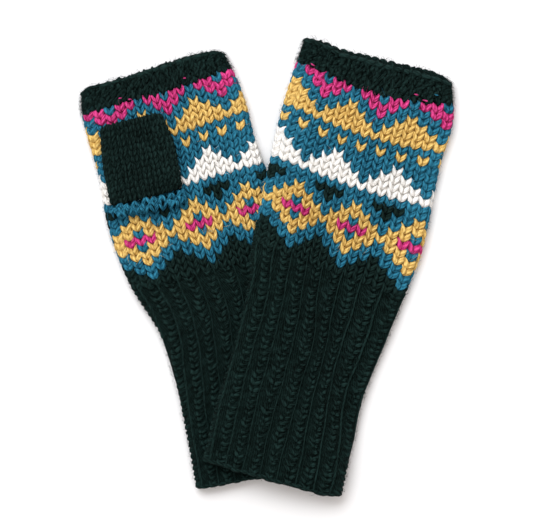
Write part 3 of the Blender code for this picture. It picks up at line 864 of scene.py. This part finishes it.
# Upside-down V stitches of the hand's blue yarn, which the thumb is picked up through:
# the right leg from its tip to its foot, its tone painted shade where the yarn sinks deep
# and a painted highlight where it comes up to the face
PICKED_LEG = [
    LegPoint(0.00, 2.20, 1.10, 0.36, 0.35, -0.15),
    LegPoint(0.40, 1.45, 0.25, 0.78, 0.66, 0.06),
    LegPoint(0.95, 0.40, 0.00, 0.88, 0.74, 0.10),
    LegPoint(1.55, -0.80, 0.25, 0.78, 0.68, 0.0),
    LegPoint(2.05, -1.90, 0.80, 0.52, 0.50, -0.15),
    LegPoint(2.35, -2.80, 1.60, 0.25, 0.25, -0.30),
]
PICKED_UNEVEN = Uneven(place=0.10, up=0.35, size=0.12, tone=0.14)
PICKED_TONE = -0.10
PICKED_ROWS = (-4.6, -2.9, -1.2)           # from the thumb's foot
PICKED_STITCHES = 9                        # in each row
PICKED_DROP = 2.0                          # from a row's left end to its right end
THUMB_HAIRS = 400


class Thumb(Tube):
    """The thumb's tube, thin at its foot."""

    def __init__(self, foot, base):
        turn = np.radians(foot.turn_deg)
        self.row_way = np.array([np.cos(turn), np.sin(turn)])
        self.along_way = np.array([-np.sin(turn), np.cos(turn)])
        self.origin = np.array([foot.x, foot.y])
        self.base = base
        rows = []
        for row in THUMB_ROWS:
            left, right = [self.origin + self.row_way * side + self.along_way * row.along
                           for side in sorted([row.left * foot.mirror, row.right * foot.mirror])]
            rows.append(Row(row.place, *left, *right))
        super().__init__(rows, THUMB_STITCHES, THUMB_STITCHES / 2, THUMB_THICK, THUMB_FOLD_REACH,
                         THUMB_CORNER, THUMB_CORNER)

    def thick_at(self, along):
        """Thin at the foot, and full after THUMB_FOOT_RISE."""
        return THUMB_FOOT_THICK + (THUMB_THICK - THUMB_FOOT_THICK) * smoothstep(
            0, THUMB_FOOT_RISE, along)

    def lift(self, x, y):
        """The height of what the thumb lies on."""
        return np.full_like(x, self.base)

    def outside(self, x, y):
        """How far a point lies outside the thumb's rectangle, and 0 within it."""
        left = min((self.ends[:, :2] - self.origin) @ self.row_way)
        right = max((self.ends[:, 2:] - self.origin) @ self.row_way)
        dx, dy = x - self.origin[0], y - self.origin[1]
        across = dx * self.row_way[0] + dy * self.row_way[1]
        along = dx * self.along_way[0] + dy * self.along_way[1]
        beside = np.maximum(np.maximum(left - across, across - right), 0)
        past = np.maximum(np.maximum(-along, along - self.length), 0)
        return np.hypot(beside, past)


def knit_thumb(side, tube):
    start, stop = THUMB_START, tube.length - THUMB_STOP_BEFORE
    rows = round((stop - start) / THUMB_ROW)
    shell = cloth(f"{side}_thumb_cloth", tube, start, stop, rows, THUMB_STITCHES, 0,
                  (THUMB_SHELL_DEPTH, THUMB_SHELL_DEPTH), THUMB_SHELL_THICK, plain(GREEN))
    row, column = each(np.arange(rows), np.arange(THUMB_STITCHES))
    many = len(row)
    place = column + 0.5 + seeded.normal(0, THUMB_UNEVEN.place, many)
    foot = start + row * (stop - start) / rows + seeded.normal(0, THUMB_UNEVEN.up, many)
    size = 1 + seeded.normal(0, THUMB_UNEVEN.size, many)
    tone = THUMB_TONE + seeded.normal(0, THUMB_UNEVEN.tone, many)
    legs = [leg_rings(tube, THUMB_LEG, way, place, foot, size) for way in (1, -1)]
    stitches = put_yarns(f"{side}_thumb_stitches", np.concatenate(legs), way_along(THUMB_LEG),
                         np.full(2 * many, GREEN), np.tile(tone, 2))
    many = len(PICKED_ROWS) * PICKED_STITCHES
    share = (np.arange(many) / len(PICKED_ROWS) + 0.5) / PICKED_STITCHES
    place = share * tube.on_top + seeded.normal(0, PICKED_UNEVEN.place, many)
    foot = (np.tile(PICKED_ROWS, PICKED_STITCHES) - PICKED_DROP * share
            + seeded.normal(0, PICKED_UNEVEN.up, many))
    legs = [leg_rings(tube, PICKED_LEG, way, place, foot,
                      1 + seeded.normal(0, PICKED_UNEVEN.size, many)) for way in (1, -1)]
    tone = seeded.normal(PICKED_TONE, PICKED_UNEVEN.tone, 2 * many)
    picked = put_yarns(f"{side}_thumb_loops", np.concatenate(legs), way_along(PICKED_LEG),
                       np.full(2 * many, BLUE), tone[:, None] + painted_leg_shading(PICKED_LEG))
    fuzz = hairs(f"{side}_thumb_hairs", tube, start, stop, THUMB_HAIRS, plain(GREEN))
    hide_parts(f"{side}_thumb")


left_thumb = Thumb(LEFT_THUMB, THICK + SEAM_GAP)
knit_thumb("left", left_thumb)


# ---- Right mitt ---------------------------------------------------------------------
# The mirror mitt, back up. It lies over its own thumb and, with its cuff, over the left
# one's cuff, and comes down to the table beside them in soft ramps.
RIGHT_ROWS = [
    Row("hem", -36.0, -107.6, 40.6, -129.9),
    Row("low cuff", -28.7, -76.0, 47.7, -98.9),
    Row("mid cuff", -19.1, -45.3, 54.9, -69.4),
    Row("high cuff", -11.7, -14.7, 66.9, -39.9),
    Row("wrist", -8.3, 16.0, 78.8, -10.8),
    Row("low hand", -4.3, 36.2, 86.3, 8.7),
    Row("mid hand", -0.2, 54.0, 90.4, 26.5),
    Row("high hand", 6.9, 84.9, 96.5, 57.1),
    Row("band", 14.5, 110.2, 103.9, 83.5),
    Row("top", 20.4, 127.6, 102.8, 102.4),
]
RIGHT_THUMB = Foot(30.1, 41.5, -17.0, -1)
LIE_GAP = 0.5                              # between the mitt and what it lies over
FAR_RIM = 2.6                              # how far the lower layer shows past the rim
RAMP, RAMP_INSET, HEM_OUTSET = 18.0, 4.0, 5.0
THUMB_RAMP, THUMB_INSET = 24.0, 1.0
LIFT_POWER = 4                             # the higher, the sharper where two lifts meet
RIGHT_RIM = (1.2, -1.7, -0.7, 0.6, 1.7)
RIGHT_HEM = (0.0, 0.0, 0.0, 0.3, 1.5)
RIGHT_COLUMN = 3.5
RIGHT_SPECKS = [Speck(12.6, 4.1, "P"), Speck(14.3, 4.7, "B"), Speck(13.4, 1.2, "P"),
                Speck(1.6, 1.5, "P")]
RIGHT_CUFF_PULL = [
    Pull(0.0, (0.2, 0.0), (0.2, 0.0), (0.35, 0.0), (0.8, 0.0), (0.95, 0.0)),
    Pull(0.09, (0.2, 0.1), (0.2, 0.0), (0.35, 0.0), (0.8, -0.1), (1.0, -0.1)),
    Pull(0.46, (-0.25, 0.4), (-0.1, 0.1), (0.5, -0.2), (0.0, -0.4), (0.0, -0.6)),
    Pull(0.61, (-0.3, 0.5), (-0.25, 0.1), (0.45, -0.3), (-0.35, -0.6), (0.25, -0.8)),
    Pull(0.84, (-0.05, 1.3), (-0.3, 0.3), (-0.7, -0.6), (-0.65, -1.5), (0.2, -2.6)),
    Pull(1.0, (-0.05, 1.9), (-0.35, 0.5), (-0.8, -0.9), (-0.7, -2.2), (0.15, -3.8)),
]
RIGHT_PULL = [
    Pull(1.0, (0.55, 1.9), (0.4, 0.5), (0.05, -0.9), (0.2, -2.2), (0.9, -3.8)),
    Pull(1.17, (0.4, 1.9), (0.25, 0.2), (0.05, -1.1), (0.2, -2.1), (0.95, -3.0)),
    Pull(1.27, (0.2, 2.2), (0.15, 0.2), (0.1, -1.1), (0.2, -1.9), (0.8, -1.3)),
    Pull(1.5, (-0.1, 2.1), (0.1, -0.1), (0.15, -1.5), (0.35, -1.1), (0.85, 0.7)),
    Pull(1.75, (0.1, 3.2), (0.3, 0.1), (0.35, -1.0), (0.5, 0.2), (1.05, 3.7)),
    Pull(2.0, (0.3, 4.0), (0.35, 0.3), (0.3, -1.1), (0.4, 1.0), (1.25, 6.4)),
    Pull(3.0, (0.3, 0.0), (0.35, 0.0), (0.3, 0.0), (0.4, 0.0), (1.25, 0.0)),
]


class RightMitt(Tube):
    """The mitt that lies over its own thumb and over the left mitt."""

    def __init__(self, beneath, thumb, pull):
        super().__init__(RIGHT_ROWS, pull=pull, hem_pull=RIGHT_HEM, rim_pull=RIGHT_RIM,
                         far_rim=FAR_RIM)
        self.beneath, self.thumb = beneath, thumb

    def lift(self, x, y):
        """Smooth height over the left mitt's right edge and hem, and over the thumb."""
        edge = self.beneath.ends[:, 2:]
        edge_x = smooth_through(edge[:, 1], edge[:, :1], np.clip(y, edge[0, 1], edge[-1, 1]))
        hem_left, hem_right = self.beneath.ends[0, :2], self.beneath.ends[0, 2:]
        hem_way = (hem_right - hem_left) / np.linalg.norm(hem_right - hem_left)
        inside_hem = (y - hem_left[1]) * hem_way[0] - (x - hem_left[0]) * hem_way[1]
        inside = np.minimum(edge_x[..., 0] - x, inside_hem + HEM_OUTSET + RAMP_INSET)
        over_left = (THICK + LIE_GAP) * smoothstep(-RAMP, RAMP_INSET, inside)
        out = self.thumb.outside(x, y)
        over_thumb = (THUMB_THICK + LIE_GAP) * smoothstep(-THUMB_RAMP, -THUMB_INSET, -out)
        return (over_left**LIFT_POWER + over_thumb**LIFT_POWER) ** (1 / LIFT_POWER)


right_thumb = Thumb(RIGHT_THUMB, 0.0)
right_mitt = RightMitt(left_mitt, right_thumb, RIGHT_PULL)
knit_hand("right", right_mitt, first_column=RIGHT_COLUMN)
knit_cuff("right", RightMitt(left_mitt, right_thumb, RIGHT_CUFF_PULL))
knit_band("right", right_mitt, first_column=RIGHT_COLUMN, specks=RIGHT_SPECKS)
knit_thumb("right", right_thumb)
